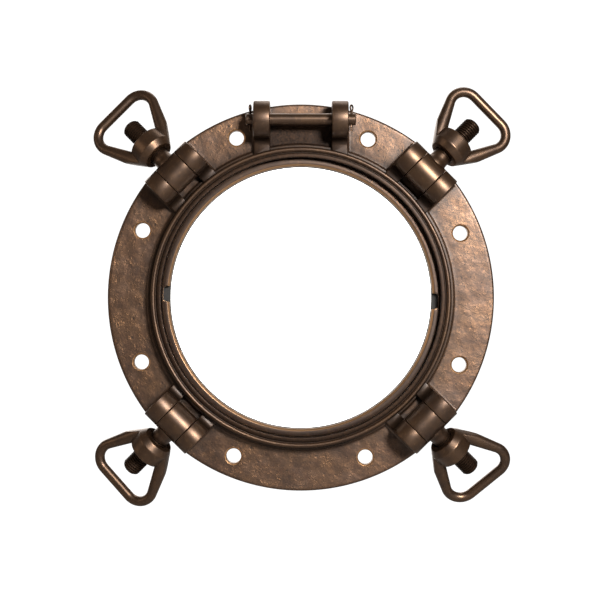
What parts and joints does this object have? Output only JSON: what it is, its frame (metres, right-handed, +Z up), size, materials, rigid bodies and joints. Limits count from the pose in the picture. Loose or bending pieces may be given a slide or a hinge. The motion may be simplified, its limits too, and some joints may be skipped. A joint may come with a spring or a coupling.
{
  "type": "ship's porthole frame with fixed glass and swing-bolt dogs",
  "caption": "Round ship's window: patinated bronze flange with mounting holes, fixed glass behind a screwed ring, swing-bolt dogs with loop-handled nuts, and open hinge lugs for a cover.",
  "frame": {"origin": "centre of the light on the back face of the flange, the face that lies on the wall", "axes": "+Z up, with the cover's hinge at the top; -Y towards the room, the side with the dogs; +X to the right seen from the room"},
  "size_m": [0.4831, 0.0895, 0.4844],
  "materials": {
    "cast_bronze": "brown patina over a rough casting, worn to bright metal along the edges",
    "turned_bronze": "turned and tarnished brown",
    "handle_bronze": "smooth dark olive-brown patina",
    "bolt_bronze": "dark patina, nearly black in the thread",
    "drawn_bronze": "drawn rod, tarnished brown",
    "window_glass": "clear, slightly smeared",
    "black_rubber": "matt black"
  },
  "bodies": {
    "window": {"frame_casting": "cast_bronze", "glass_pane": "window_glass", "front_gasket": "black_rubber", "rear_gasket": "black_rubber", "retaining_ring": "turned_bronze", "dog_pin_upper_right": "drawn_bronze", "dog_pin_upper_left": "drawn_bronze", "dog_pin_lower_left": "drawn_bronze", "dog_pin_lower_right": "drawn_bronze"},
    "hinge_pin": {"hinge_pin": "drawn_bronze", "split_pin_left": "drawn_bronze", "split_pin_right": "drawn_bronze"},
    "swing_bolt_upper_right": {"swing_bolt_upper_right": "bolt_bronze"},
    "handle_nut_upper_right": {"handle_nut_upper_right": "handle_bronze"},
    "swing_bolt_upper_left": {"swing_bolt_upper_left": "bolt_bronze"},
    "handle_nut_upper_left": {"handle_nut_upper_left": "handle_bronze"},
    "swing_bolt_lower_left": {"swing_bolt_lower_left": "bolt_bronze"},
    "handle_nut_lower_left": {"handle_nut_lower_left": "handle_bronze"},
    "swing_bolt_lower_right": {"swing_bolt_lower_right": "bolt_bronze"},
    "handle_nut_lower_right": {"handle_nut_lower_right": "handle_bronze"}
  },
  "joints": [
    {"name": "hinge_pin_turn", "type": "hinge", "parent": "window", "child": "hinge_pin", "pos_m": [0, -0.0335, 0.2025], "axis": [1, 0, 0], "continuous": true},
    {"name": "dog_swing_upper_right", "type": "hinge", "parent": "window", "child": "swing_bolt_upper_right", "pos_m": [0.14142, -0.0325, 0.14142], "axis": [0.7071, 0, -0.7071], "range_deg": [0, 160]},
    {"name": "nut_turn_upper_right", "type": "hinge", "parent": "swing_bolt_upper_right", "child": "handle_nut_upper_right", "pos_m": [0.14142, -0.0325, 0.14142], "axis": [0.683, 0.2588, 0.683], "continuous": true},
    {"name": "dog_swing_upper_left", "type": "hinge", "parent": "window", "child": "swing_bolt_upper_left", "pos_m": [-0.14142, -0.0325, 0.14142], "axis": [0.7071, 0, 0.7071], "range_deg": [0, 165]},
    {"name": "nut_turn_upper_left", "type": "hinge", "parent": "swing_bolt_upper_left", "child": "handle_nut_upper_left", "pos_m": [-0.14142, -0.0325, 0.14142], "axis": [-0.6645, 0.342, 0.6645], "continuous": true},
    {"name": "dog_swing_lower_left", "type": "hinge", "parent": "window", "child": "swing_bolt_lower_left", "pos_m": [-0.14142, -0.0325, -0.14142], "axis": [-0.7071, 0, 0.7071], "range_deg": [0, 165]},
    {"name": "nut_turn_lower_left", "type": "hinge", "parent": "swing_bolt_lower_left", "child": "handle_nut_lower_left", "pos_m": [-0.14142, -0.0325, -0.14142], "axis": [-0.6645, 0.342, -0.6645], "continuous": true},
    {"name": "dog_swing_lower_right", "type": "hinge", "parent": "window", "child": "swing_bolt_lower_right", "pos_m": [0.14142, -0.0325, -0.14142], "axis": [-0.7071, 0, -0.7071], "range_deg": [0, 165]},
    {"name": "nut_turn_lower_right", "type": "hinge", "parent": "swing_bolt_lower_right", "child": "handle_nut_lower_right", "pos_m": [0.14142, -0.0325, -0.14142], "axis": [0.6645, 0.342, -0.6645], "continuous": true}
  ]
}
